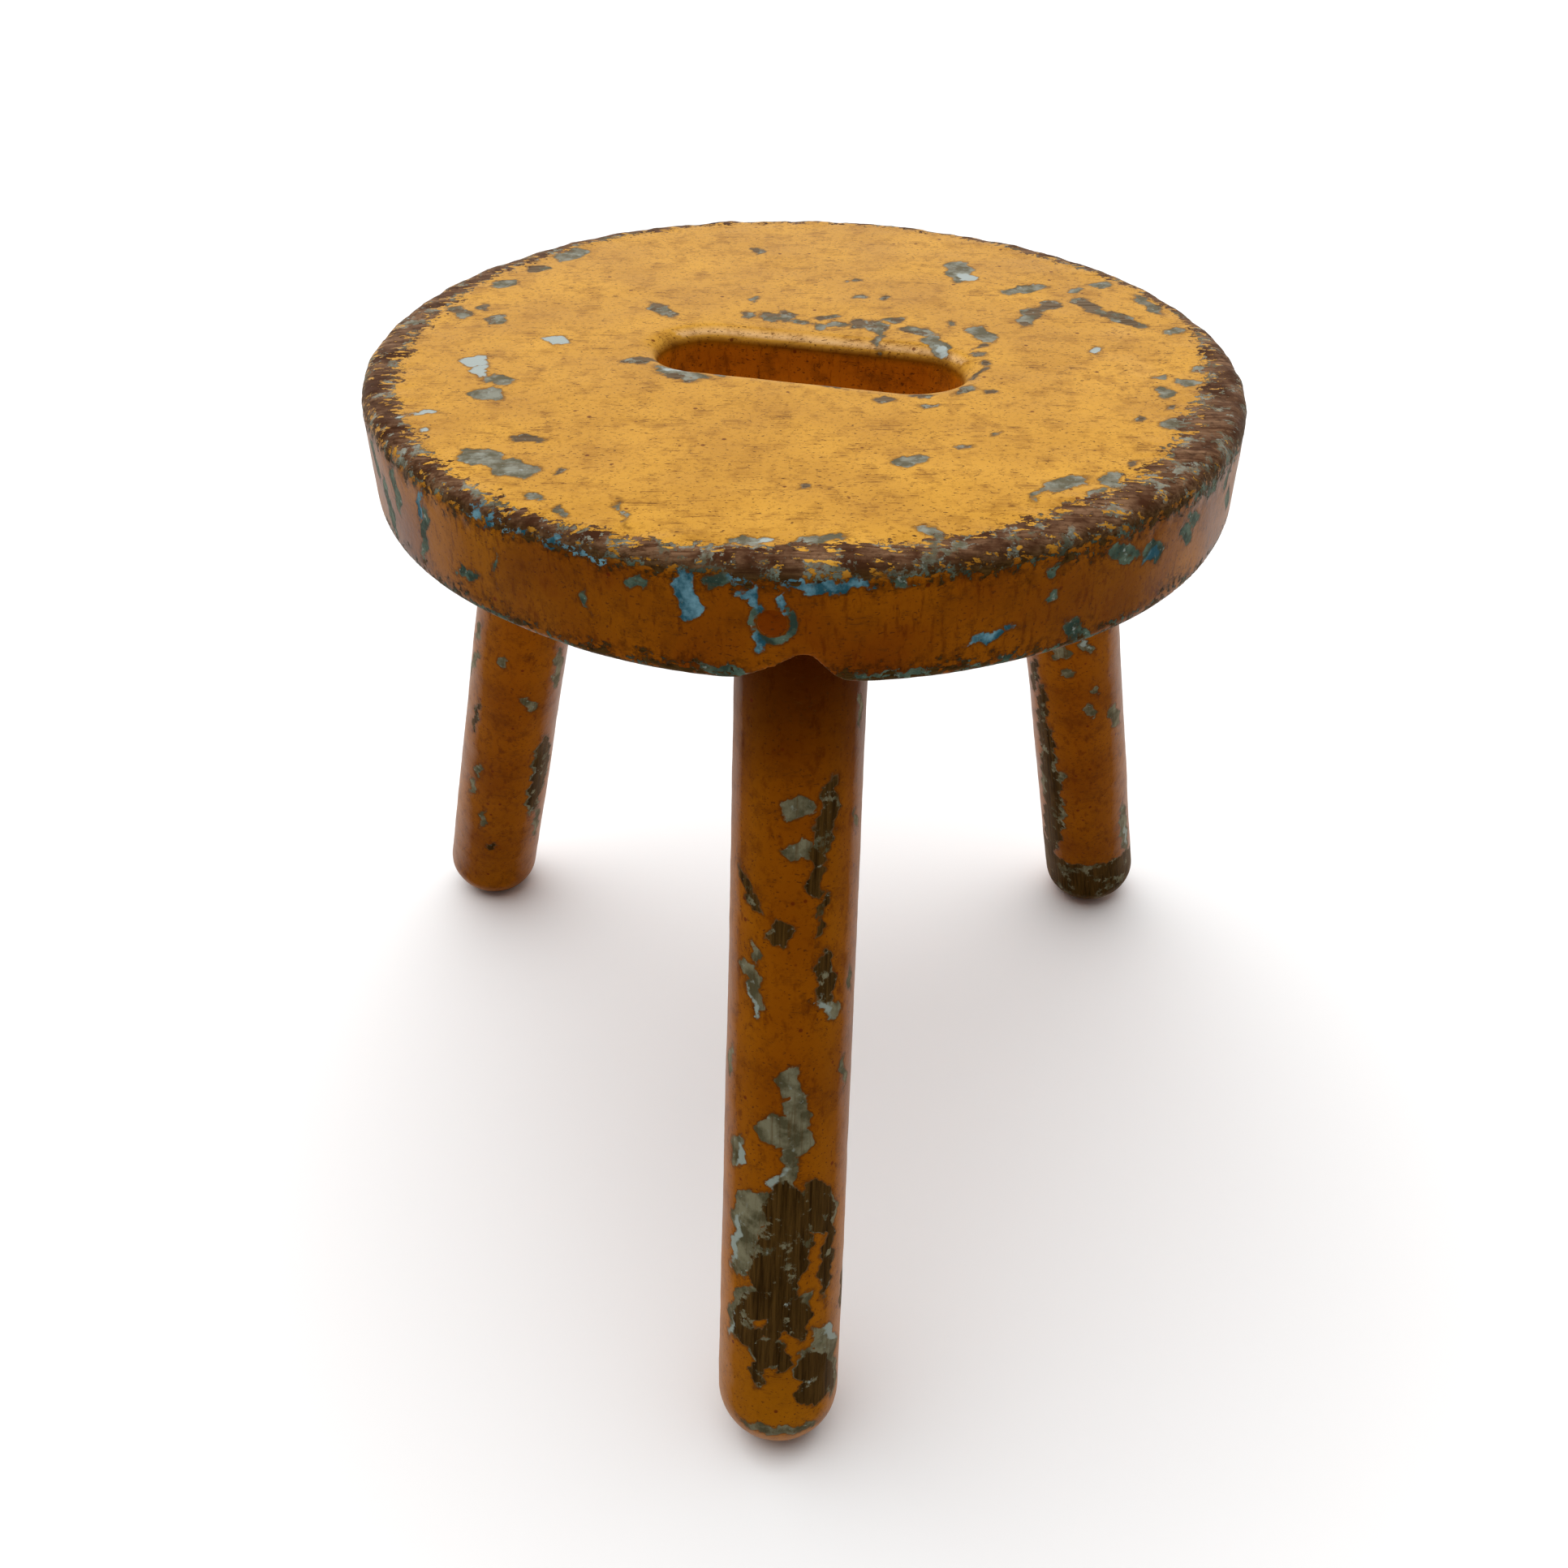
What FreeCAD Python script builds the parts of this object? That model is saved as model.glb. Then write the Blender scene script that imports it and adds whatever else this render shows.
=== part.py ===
"""Three-legged wooden milking stool: a thick round seat with a hand slot, three splayed
legs let into its underside, and a dowel peg through the rim into the top of each leg.

Everything is first laid out about the seat's own axis, with the floor at z = 0 and the
front leg towards -Y. At the end the whole stool is moved so that its origin is the
middle of its footprint on the floor. Lengths are millimetres and angles are degrees.
"""
import FreeCAD, Part
import math
import os

import Sketcher
from FreeCAD import Placement, Rotation, Vector

SIZES = {
    # seat: a board turned round and since shrunk a little across its grain
    "stool_height": 304.0,
    "seat_long": 278.0,
    "seat_short": 266.0,
    "seat_turn": -48.8,
    "seat_thick": 35.0,
    "seat_top_round": 5.0,
    "seat_under_round": 2.5,
    # hand slot: its throat, with a rounded lip above and below
    "slot_length": 97.0,
    "slot_width": 32.0,
    "slot_turn": -14.0,
    "slot_x": 3.0,
    "slot_y": -6.0,
    "slot_round": 4.5,
    # legs: turned, a little stouter at the foot
    "foot_radius": 19.9,
    "tenon_radius": 18.5,
    "tenon_clearance": 0.1,
    "tenon_run": 8.0,
    "tenon_chamfer": 1.5,
    "tenon_end_gap": 0.5,
    "mortise_roof": 10.0,
    "foot_wear": 1.0,
    # where each leg enters the seat (way round, distance in from the rim), and its splay
    "front_azimuth": -88.1,
    "front_inset": 36.7,
    "front_lean": 16.8,
    "front_heading": -94.9,
    "front_foot_round": 17.5,
    "back_left_azimuth": 152.3,
    "back_left_inset": 39.2,
    "back_left_lean": 17.8,
    "back_left_heading": 138.0,
    "back_left_foot_round": 13.0,
    "back_right_azimuth": 30.7,
    "back_right_inset": 29.5,
    "back_right_lean": 14.9,
    "back_right_heading": 45.5,
    "back_right_foot_round": 13.0,
    # pegs: driven level from the rim into each tenon
    "peg_radius": 4.0,
    "peg_clearance": 0.05,
    "peg_length": 38.0,
    "peg_sink": 0.3,
    "peg_depth": 16.6,
    "peg_offset": -3.4,
    # notch: a scoop in the rim's lower edge above the front leg
    "notch_width": 27.0,
    "notch_rise": 7.0,
    "notch_run": 14.0,
}
LEGS = ("front", "back_left", "back_right")
CUTTER_SPARE = 15.0
FLOOR_TOLERANCE = 0.05
UP = Vector(0, 0, 1)

doc = FreeCAD.newDocument("MilkingStool")


def make_sheet():
    sheet = doc.addObject("Spreadsheet::Sheet", "Sizes")
    for row, (alias, value) in enumerate(SIZES.items(), start=1):
        sheet.set(f"A{row}", alias)
        sheet.set(f"B{row}", str(value))
        sheet.setAlias(f"B{row}", alias)
    doc.recompute()
    return sheet


sizes = make_sheet()


# ---- places worked out from the sizes -------------------------------------------------

def level_direction(azimuth):
    angle = math.radians(azimuth)
    return Vector(math.cos(angle), math.sin(angle), 0)


def aimed(start, direction):
    """Placement that takes a piece's own +Z to the direction given."""
    return Placement(start, Rotation(UP, direction))


def rim_radius(azimuth):
    """Distance from the seat's axis to the oval rim."""
    angle = math.radians(azimuth - sizes.seat_turn)
    across = math.hypot(sizes.seat_short * math.cos(angle), sizes.seat_long * math.sin(angle))
    return sizes.seat_long * sizes.seat_short / across / 2


def underside():
    return sizes.stool_height - sizes.seat_thick


def leg_size(leg, name):
    return getattr(sizes, f"{leg}_{name}")


def leg_entry(leg):
    """Point where the leg's axis crosses the seat's underside."""
    azimuth = leg_size(leg, "azimuth")
    point = level_direction(azimuth) * (rim_radius(azimuth) - leg_size(leg, "inset"))
    point.z = underside()
    return point


def leg_up(leg):
    """Direction of the leg's axis, from its foot to its tenon."""
    lean = math.radians(leg_size(leg, "lean"))
    return level_direction(leg_size(leg, "heading")) * -math.sin(lean) + UP * math.cos(lean)


def leg_drop(leg):
    """Length of the leg's axis from the seat's underside to the end of the foot."""
    lean = math.radians(leg_size(leg, "lean"))
    corner = leg_size(leg, "foot_round")
    foot_centre = corner + (sizes.foot_radius - corner) * math.sin(lean) - sizes.foot_wear
    return (underside() - foot_centre) / math.cos(lean) + corner


def leg_placement(leg):
    return aimed(leg_entry(leg) - leg_up(leg) * leg_drop(leg), leg_up(leg))


def peg_azimuth(leg):
    return leg_size(leg, "azimuth") + sizes.peg_offset


def peg_placement(leg):
    """The peg's own +Z points in from the rim."""
    outward = level_direction(peg_azimuth(leg))
    start = outward * (rim_radius(peg_azimuth(leg)) - sizes.peg_sink)
    start.z = sizes.stool_height - sizes.peg_depth
    return aimed(start, outward * -1)


# ---- drawing helpers ------------------------------------------------------------------

def make_body(label):
    body = doc.addObject("PartDesign::Body", label)
    body.Label = label
    return body


def plane(body, role):
    return [item for item in body.Origin.OriginFeatures if item.Role == role][0]


def make_sketch(body, role, name, offset=Placement()):
    sketch = body.newObject("Sketcher::SketchObject", name)
    sketch.AttachmentSupport = [(plane(body, role), "")]
    sketch.MapMode = "FlatFace"
    sketch.AttachmentOffset = offset
    return sketch


def bind(sketch, name, constraint, expression):
    """Adds a dimension to the sketch and ties it to the sheet."""
    index = sketch.addConstraint(constraint)
    sketch.renameConstraint(index, name)
    sketch.setExpression(f"Constraints.{name}", expression)


def add_circle(sketch, radius, expression):
    circle = sketch.addGeometry(Part.Circle(Vector(0, 0, 0), UP, radius))
    sketch.addConstraint(Sketcher.Constraint("Coincident", circle, 3, -1, 1))
    bind(sketch, "radius", Sketcher.Constraint("Radius", circle, radius), expression)


def cut_cylinder(body, name, where, radius, height):
    """Takes a round hole out of the body. radius and height are expressions."""
    cutter = body.newObject("PartDesign::SubtractiveCylinder", name)
    cutter.AttachmentSupport = [(plane(body, "XY_Plane"), "")]
    cutter.MapMode = "FlatFace"
    cutter.AttachmentOffset = where
    cutter.setExpression("Radius", radius)
    cutter.setExpression("Height", height)
    return cutter


def edges_where(feature, test):
    return [f"Edge{i}" for i, edge in enumerate(feature.Shape.Edges, start=1) if test(edge)]


def dress(body, kind, name, feature, test, size_name, expression):
    """Adds a fillet or chamfer to the edges of the feature that pass the test."""
    doc.recompute()
    dressing = body.newObject(f"PartDesign::{kind}", name)
    dressing.Base = (feature, edges_where(feature, test))
    dressing.setExpression(size_name, expression)
    return dressing


# ---- seat -----------------------------------------------------------------------------

def seat_board(body):
    """The oval board, with its underside on the body's own XY plane."""
    turned = Placement(Vector(0, 0, 0), Rotation(UP, sizes.seat_turn))
    sketch = make_sketch(body, "XY_Plane", "board_outline", turned)
    long_end = Vector(sizes.seat_long / 2, 0, 0)
    short_end = Vector(0, sizes.seat_short / 2, 0)
    oval = sketch.addGeometry(Part.Ellipse(long_end, short_end, Vector(0, 0, 0)))
    sketch.exposeInternalGeometry(oval)
    long_axis, short_axis = oval + 1, oval + 2
    sketch.addConstraint(Sketcher.Constraint("Coincident", oval, 3, -1, 1))
    sketch.addConstraint(Sketcher.Constraint("Horizontal", long_axis))
    long_size = Sketcher.Constraint("Distance", long_axis, sizes.seat_long)
    short_size = Sketcher.Constraint("Distance", short_axis, sizes.seat_short)
    bind(sketch, "long_size", long_size, "Sizes.seat_long")
    bind(sketch, "short_size", short_size, "Sizes.seat_short")
    board = body.newObject("PartDesign::Pad", "board")
    board.Profile = sketch
    board.setExpression("Length", "Sizes.seat_thick")
    return board


def hand_slot(body):
    """The slot's throat, right through the board: two straight sides and two round ends."""
    spot = Vector(sizes.slot_x, sizes.slot_y, 0)
    sketch = make_sketch(body, "XY_Plane", "slot_outline",
                         Placement(spot, Rotation(UP, sizes.slot_turn)))
    radius = sizes.slot_width / 2
    half = sizes.slot_length / 2 - radius
    right, left = Vector(half, 0, 0), Vector(-half, 0, 0)
    rise = Vector(0, radius, 0)
    quarter = math.pi / 2
    end_right = Part.ArcOfCircle(Part.Circle(right, UP, radius), -quarter, quarter)
    end_left = Part.ArcOfCircle(Part.Circle(left, UP, radius), quarter, 3 * quarter)
    arc_right = sketch.addGeometry(end_right)
    side_top = sketch.addGeometry(Part.LineSegment(right + rise, left + rise))
    arc_left = sketch.addGeometry(end_left)
    side_low = sketch.addGeometry(Part.LineSegment(left - rise, right - rise))
    sketch.addConstraint(Sketcher.Constraint("Tangent", arc_right, 2, side_top, 1))
    sketch.addConstraint(Sketcher.Constraint("Tangent", side_top, 2, arc_left, 1))
    sketch.addConstraint(Sketcher.Constraint("Tangent", arc_left, 2, side_low, 1))
    sketch.addConstraint(Sketcher.Constraint("Tangent", side_low, 2, arc_right, 1))
    sketch.addConstraint(Sketcher.Constraint("Symmetric", arc_right, 3, arc_left, 3, -1, 1))
    sketch.addConstraint(Sketcher.Constraint("PointOnObject", arc_right, 3, -1))
    centres = Sketcher.Constraint("DistanceX", arc_left, 3, arc_right, 3, 2 * half)
    bind(sketch, "centres", centres, "Sizes.slot_length - Sizes.slot_width")
    bind(sketch, "end_radius", Sketcher.Constraint("Radius", arc_right, radius),
         "Sizes.slot_width / 2")
    slot = body.newObject("PartDesign::Pocket", "slot")
    slot.Profile = sketch
    slot.Type = "ThroughAll"
    slot.Reversed = True
    return slot


def from_axis(edge):
    """Distance from the seat's axis to the nearest end of the edge."""
    return min(math.hypot(corner.Point.x, corner.Point.y) for corner in edge.Vertexes)


def round_seat_edges(body, slot):
    inside = (sizes.slot_length + sizes.seat_short) / 4

    def level(edge, height):
        box = edge.BoundBox
        return abs(box.ZMin - height) < 0.01 and abs(box.ZMax - height) < 0.01

    def rim_top(edge):
        return level(edge, sizes.seat_thick) and from_axis(edge) > inside

    def rim_under(edge):
        return level(edge, 0) and from_axis(edge) > inside

    def slot_lip(edge):
        flat = level(edge, 0) or level(edge, sizes.seat_thick)
        return flat and from_axis(edge) < inside

    top = dress(body, "Fillet", "rim_top_round", slot, rim_top,
                "Radius", "Sizes.seat_top_round")
    under = dress(body, "Fillet", "rim_under_round", top, rim_under,
                  "Radius", "Sizes.seat_under_round")
    dress(body, "Fillet", "slot_lip_round", under, slot_lip,
          "Radius", "Sizes.slot_round")


def notch_radius():
    """Radius of the scoop, from its width and rise at the rim."""
    half = sizes.notch_width / 2
    return (half * half + sizes.notch_rise ** 2) / (2 * sizes.notch_rise)


def cut_notch(body):
    azimuth = leg_size("front", "azimuth")
    start = level_direction(azimuth) * (rim_radius(azimuth) - sizes.notch_run)
    start.z = sizes.notch_rise - notch_radius()
    radius = "((Sizes.notch_width / 2)^2 + Sizes.notch_rise^2) / (2 * Sizes.notch_rise)"
    cut_cylinder(body, "notch", aimed(start, level_direction(azimuth)), radius,
                 f"Sizes.notch_run + {CUTTER_SPARE}")


def cut_joint(body, leg):
    """The blind mortise for the leg's tenon, and the hole for its peg."""
    into_seat = Placement(Vector(0, 0, -underside()), Rotation())
    start = leg_entry(leg) - leg_up(leg) * CUTTER_SPARE
    mortise = into_seat * aimed(start, leg_up(leg))
    cut_cylinder(body, f"mortise_{leg}", mortise,
                 "Sizes.tenon_radius + Sizes.tenon_clearance",
                 f"Sizes.seat_thick - Sizes.mortise_roof + {CUTTER_SPARE}")
    back_off = Placement(Vector(0, 0, -CUTTER_SPARE), Rotation())
    cut_cylinder(body, f"peg_hole_{leg}", into_seat * peg_placement(leg) * back_off,
                 "Sizes.peg_radius + Sizes.peg_clearance",
                 f"Sizes.peg_length + {CUTTER_SPARE}")


def make_seat():
    body = make_body("seat")
    seat_board(body)
    doc.recompute()
    slot = hand_slot(body)
    round_seat_edges(body, slot)
    cut_notch(body)
    for leg in LEGS:
        cut_joint(body, leg)
    body.Placement = Placement(Vector(0, 0, underside()), Rotation())
    return body


# ---- legs -----------------------------------------------------------------------------

def leg_drop_expression(leg):
    """The same length as leg_drop, bound to the sheet."""
    lean = f"Sizes.{leg}_lean * 1 deg"
    corner = f"Sizes.{leg}_foot_round"
    foot_centre = f"{corner} + (Sizes.foot_radius - {corner}) * sin({lean}) - Sizes.foot_wear"
    drop = "Sizes.stool_height - Sizes.seat_thick"
    return f"({drop} - ({foot_centre})) / cos({lean}) + {corner}"


def leg_profile(body, leg):
    """Half of the leg's outline: flat foot, tapering shaft and straight tenon."""
    sketch = make_sketch(body, "XZ_Plane", "leg_outline")
    shaft = leg_drop(leg) - sizes.tenon_run
    top = leg_drop(leg) + sizes.seat_thick - sizes.mortise_roof - sizes.tenon_end_gap
    corners = [Vector(0, 0, 0), Vector(sizes.foot_radius, 0, 0),
               Vector(sizes.tenon_radius, shaft, 0), Vector(sizes.tenon_radius, top, 0),
               Vector(0, top, 0)]
    lines = []
    for start, end in zip(corners, corners[1:] + corners[:1]):
        lines.append(sketch.addGeometry(Part.LineSegment(start, end)))
    for line, following in zip(lines, lines[1:] + lines[:1]):
        sketch.addConstraint(Sketcher.Constraint("Coincident", line, 2, following, 1))
    foot, taper, tenon, end, axis = lines
    sketch.addConstraint(Sketcher.Constraint("Coincident", foot, 1, -1, 1))
    sketch.addConstraint(Sketcher.Constraint("Horizontal", foot))
    sketch.addConstraint(Sketcher.Constraint("Vertical", tenon))
    sketch.addConstraint(Sketcher.Constraint("Horizontal", end))
    sketch.addConstraint(Sketcher.Constraint("Vertical", axis))
    drop = leg_drop_expression(leg)
    bind(sketch, "foot_radius",
         Sketcher.Constraint("Distance", foot, sizes.foot_radius), "Sizes.foot_radius")
    bind(sketch, "tenon_radius",
         Sketcher.Constraint("Distance", end, sizes.tenon_radius), "Sizes.tenon_radius")
    bind(sketch, "shaft", Sketcher.Constraint("DistanceY", -1, 1, taper, 2, shaft),
         f"{drop} - Sizes.tenon_run")
    bind(sketch, "whole", Sketcher.Constraint("DistanceY", -1, 1, tenon, 2, top),
         f"{drop} + Sizes.seat_thick - Sizes.mortise_roof - Sizes.tenon_end_gap")
    return sketch


def wear_foot(body, leg):
    """Cuts the rounded foot off level with the floor, where use has worn it flat."""
    floor = leg_placement(leg).inverse()
    slab = body.newObject("PartDesign::SubtractiveBox", "worn_flat")
    slab.AttachmentSupport = [(plane(body, "XY_Plane"), "")]
    slab.MapMode = "FlatFace"
    reach = 4 * sizes.foot_radius
    under_foot = leg_placement(leg).Base - Vector(reach / 2, reach / 2, 0)
    under_foot.z = -CUTTER_SPARE
    slab.AttachmentOffset = floor * Placement(under_foot, Rotation())
    slab.setExpression("Length", "4 * Sizes.foot_radius")
    slab.setExpression("Width", "4 * Sizes.foot_radius")
    slab.Height = CUTTER_SPARE


def make_leg(leg):
    """The leg's own +Z runs up its axis from the middle of its foot."""
    body = make_body(f"leg_{leg}")
    turning = body.newObject("PartDesign::Revolution", "turning")
    turning.Profile = leg_profile(body, leg)
    turning.ReferenceAxis = (turning.Profile[0], ["V_Axis"])
    turning.Angle = 360

    def foot_edge(edge):
        return edge.BoundBox.ZMax < 0.01

    def tenon_edge(edge):
        return edge.BoundBox.ZMin > leg_drop(leg) and edge.Closed

    foot = dress(body, "Fillet", "foot_round", turning, foot_edge,
                 "Radius", f"Sizes.{leg}_foot_round")
    dress(body, "Chamfer", "tenon_chamfer", foot, tenon_edge,
          "Size", "Sizes.tenon_chamfer")
    into_leg = leg_placement(leg).inverse()
    back_off = Placement(Vector(0, 0, -CUTTER_SPARE), Rotation())
    cut_cylinder(body, "peg_hole", into_leg * peg_placement(leg) * back_off,
                 "Sizes.peg_radius + Sizes.peg_clearance",
                 f"Sizes.peg_length + {CUTTER_SPARE}")
    wear_foot(body, leg)
    body.Placement = leg_placement(leg)
    return body


# ---- pegs -----------------------------------------------------------------------------

def make_peg(leg):
    body = make_body(f"peg_{leg}")
    sketch = make_sketch(body, "XY_Plane", "peg_outline")
    add_circle(sketch, sizes.peg_radius, "Sizes.peg_radius")
    dowel = body.newObject("PartDesign::Pad", "dowel")
    dowel.Profile = sketch
    dowel.setExpression("Length", "Sizes.peg_length")
    body.Placement = peg_placement(leg)
    return body


# ---- the whole stool ------------------------------------------------------------------

def check_model(bodies):
    for item in doc.Objects:
        if "Invalid" in item.State or "Error" in item.State:
            raise RuntimeError(f"{item.Label} failed: {item.State}")
    for body in bodies:
        if body.Shape.isNull() or not body.Shape.isValid() or len(body.Shape.Solids) != 1:
            raise RuntimeError(f"{body.Label} is not one sound solid")


def centre_on_footprint(bodies):
    """Moves the stool so that the middle of its footprint is the origin."""
    outline = FreeCAD.BoundBox()
    for body in bodies:
        outline.add(body.Shape.optimalBoundingBox(False, False))
    if abs(outline.ZMin) > FLOOR_TOLERANCE:
        raise RuntimeError(f"a foot is {outline.ZMin:.3f} from the floor")
    shift = Vector(-outline.Center.x, -outline.Center.y, 0)
    for body in bodies:
        body.Placement = Placement(shift, Rotation()) * body.Placement
    doc.recompute()
    return shift


def write_parts(bodies):
    os.makedirs("parts", exist_ok=True)
    for body in bodies:
        body.Shape.exportStep(f"parts/{body.Label}.step")


pieces = [make_seat()] + [make_leg(leg) for leg in LEGS] + [make_peg(leg) for leg in LEGS]
doc.recompute()
check_model(pieces)
seat_axis = centre_on_footprint(pieces)
print(f"seat axis at x {seat_axis.x:.2f}, y {seat_axis.y:.2f}")
write_parts(pieces)
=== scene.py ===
"""A painted milking stool: oval seat with a hand slot, three splayed legs, three pegs."""
import math
from types import SimpleNamespace

import bpy
import numpy as np
from mathutils import Matrix, Vector


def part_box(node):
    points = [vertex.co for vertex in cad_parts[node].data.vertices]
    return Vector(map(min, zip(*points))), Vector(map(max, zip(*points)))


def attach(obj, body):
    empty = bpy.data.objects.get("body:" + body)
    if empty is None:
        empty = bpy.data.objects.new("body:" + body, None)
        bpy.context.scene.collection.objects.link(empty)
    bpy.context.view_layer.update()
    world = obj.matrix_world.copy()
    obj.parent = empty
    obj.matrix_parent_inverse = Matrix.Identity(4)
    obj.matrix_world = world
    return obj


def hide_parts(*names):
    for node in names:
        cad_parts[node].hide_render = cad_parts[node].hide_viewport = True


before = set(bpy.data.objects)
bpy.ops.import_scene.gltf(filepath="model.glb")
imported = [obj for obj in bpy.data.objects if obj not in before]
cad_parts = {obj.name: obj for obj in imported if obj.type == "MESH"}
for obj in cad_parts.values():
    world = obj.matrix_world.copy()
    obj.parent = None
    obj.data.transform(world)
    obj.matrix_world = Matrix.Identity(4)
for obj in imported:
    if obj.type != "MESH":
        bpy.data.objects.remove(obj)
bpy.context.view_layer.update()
bpy.ops.object.select_all(action="DESELECT")

MM = 0.001
UP = Vector((0, 0, 1))

# ---- sizes of the stool, in mm and degrees ---------------------------------------------

seat_low, seat_high = (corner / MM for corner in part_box("seat"))
SEAT_AXIS = (seat_low + seat_high) / 2
SEAT_THICK = seat_high.z - seat_low.z
SEAT_TOP = Vector((SEAT_AXIS.x, SEAT_AXIS.y, seat_high.z))
SEAT_LONG, SEAT_SHORT, SEAT_TURN = 278, 266, -48.8
TOP_ROUND, UNDER_ROUND = 5, 2.5
RIM_MEAN_RADIUS = (SEAT_LONG + SEAT_SHORT) / 4

SLOT_LENGTH, SLOT_WIDTH, SLOT_TURN = 97, 32, -14
SLOT_PLACE = Vector((3, -6, 0))
SLOT_LIP = [(1.5, 0.3), (1.5, 0.8), (1.2, 1.2), (0.8, 1.5), (0.6, 1.9), (6, 6)]   # rise, spread

NOTCH_WIDTH, NOTCH_RISE, NOTCH_RUN = 29, 9, 14
NOTCH_AZIMUTH = -89.8

FOOT_RADIUS, TENON_RADIUS, TENON_IN_SEAT = 19.9, 18.5, 10
LEG_MEAN_RADIUS = 19.3
FLAT_ON_FLOOR = 0.2
LEGS = {
    "front": dict(azimuth=-88.1, inset=36.7, lean=16.8, heading=-94.9, foot_round=17.5),
    "back_left": dict(azimuth=152.3, inset=39.2, lean=17.8, heading=138, foot_round=13),
    "back_right": dict(azimuth=30.7, inset=29.5, lean=14.9, heading=45.5, foot_round=13),
}
PEG_RADIUS, PEG_LENGTH, PEG_DEPTH, PEG_OFFSET = 4, 38, 16.6, -3.4
PEG_RING_ARC, PEG_RING_RADIUS, PEG_RING_HALF_WIDTH = -217.3, 5.3, 0.9

# ---- where the paint has gone ----------------------------------------------------------
# Each spot: two places, half its length, half its width, turn in degrees.
# On the top: x and y from the seat's middle. On the rim: arc from +X, depth below the top.
# On a leg: arc round it, height up it.
# Bare spots go down to the wood, old and pale ones to the earlier coat, blue ones to its blue.

TOP_BARE = [
    (-46, 35.5, 6.9, 2.6, -56), (-99.5, 26.5, 4, 3.2, -87), (-48.5, -7.5, 4.8, 2.4, 18),
    (-75, -65, 3.8, 2, -5), (-59, -110, 2.3, 1.4, -74), (-43, -110, 3.8, 0.7, -71),
    (-113, 33.5, 5.6, 2.7, -58), (-106, 37.5, 2.3, 1.5, -73), (-94, 76.5, 3.9, 3, -26),
    (-17.5, 32, 2.4, 1.8, -80), (-10, 30, 4, 2.5, -52), (-62.5, -85.5, 1.2, 0.7, -79),
    (-16.5, 97, 2.7, 1.9, -85), (-15.5, 47, 2, 1.1, -86), (75, 31.5, 7.8, 2.6, 74),
    (82.5, 41.5, 6.1, 2.6, 56), (94.5, 44.5, 5.2, 2.6, -67), (97.5, 38, 6.1, 1.8, -67),
    (47, -68.5, 1.9, 0.9, -14), (57, -60.5, 1.1, 0.8, 73), (3, -94, 1, 0.8, -89),
    (19.5, 49, 2.2, 1.5, 6), (28, 48, 1.6, 0.9, 87), (18, 65.5, 1.8, 1, 2),
    (-4.5, 30.5, 4.2, 2.2, -78), (0, 26.5, 3.3, 1.4, -33), (9, 30, 3.1, 1.6, 1),
    (11.5, 23.5, 3.2, 2, 1), (19.5, 23.5, 3.6, 2.6, 70), (25, 22, 5, 2.8, -66),
    (25.5, 13, 5.8, 0.9, 89), (31.5, 28, 3, 2.2, 9), (38.5, 18, 5.6, 2.8, -32),
    (49, 24.5, 1.5, 0.9, 84), (56, -1.5, 2.2, 1.2, 8), (57, 5, 1.5, 0.7, 39),
    (58.5, -9, 1.4, 1, 56), (55, -16, 2.9, 0.7, 59), (50, -29.5, 3.7, 1.5, 43),
    (57, -31, 1.6, 0.9, -19), (38, -34, 2.8, 1.3, 2), (26, -37, 2.6, 1.5, 4),
    (11, -26, 3.2, 1.5, -39), (39, -41.5, 2.3, 0.8, 2), (105.5, 30, 8.7, 2.8, -52),
    (98, -50, 1.4, 0.9, 74), (108.5, -40.5, 1.2, 0.7, 77), (92.5, -78, 1.3, 0.7, 78),
    (80, -96, 2.2, 1.6, 41), (-23, -18, 1.9, 1.5, -57), (-36, -21, 5, 1.5, -28),
]
TOP_OLD = [
    (-90, -23.5, 4.9, 2.7, -27), (-91.5, -34.5, 5.2, 3.8, -27), (-35.5, -17, 8.5, 2.6, -28),
    (-86, -77, 6, 4.5, -20), (-76, -84, 8, 4.5, -30), (-67.5, -101.5, 2.2, 1.6, -17),
    (-84, 91.5, 6.8, 4.4, 56), (-103, 60.5, 4.8, 3, 40), (55, 75, 10, 4.4, -89),
    (76, 57, 7.3, 3, 27), (58.5, 15.5, 6.6, 3.2, -63), (93.5, 57, 2.3, 1.4, 69),
    (32, -78, 4.2, 3.2, 13), (72, -91.5, 7, 2.6, 33), (65.5, -96, 3.8, 1, 58),
    (43.5, 7, 7, 3, -71), (6.5, 22, 2.5, 1.5, -58), (8, -123.5, 5, 1.9, 15),
    (-9.5, -124.5, 4, 1.9, 0), (35.5, -119, 3.2, 1.5, -49), (37, -122.5, 3, 0.6, 87),
    (103, 62, 3.6, 2.4, 19), (121, 19, 3.1, 2, 20), (122.5, -12.5, 2.8, 1.8, 30),
    (116.5, -22.5, 3.5, 2.2, -12), (109, -29.5, 3.9, 2.2, 87), (110, -18, 1.6, 0.9, 8),
    (109.5, -52.5, 6, 3.7, 41), (85, -88.5, 4.6, 2.2, 79), (116, 42.5, 8, 2, -72),
]
TOP_PALE = [
    (-77, 9, 4.2, 2.8, -41), (-100, -9, 4, 4, 0), (-97, -17, 4, 2.2, -80),
    (93, 3.5, 2.4, 1.4, 77), (-108, -48, 2.8, 1, 10), (-105, -60, 1.2, 0.9, 30),
    (-113, -52, 1.2, 0.7, 70), (57, 69, 4, 2.4, -60), (45, 3.5, 2.8, 1.1, -50),
    (-38, -14.5, 3, 0.9, -15), (-5, -124.5, 2, 0.9, 5),
]
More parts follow.
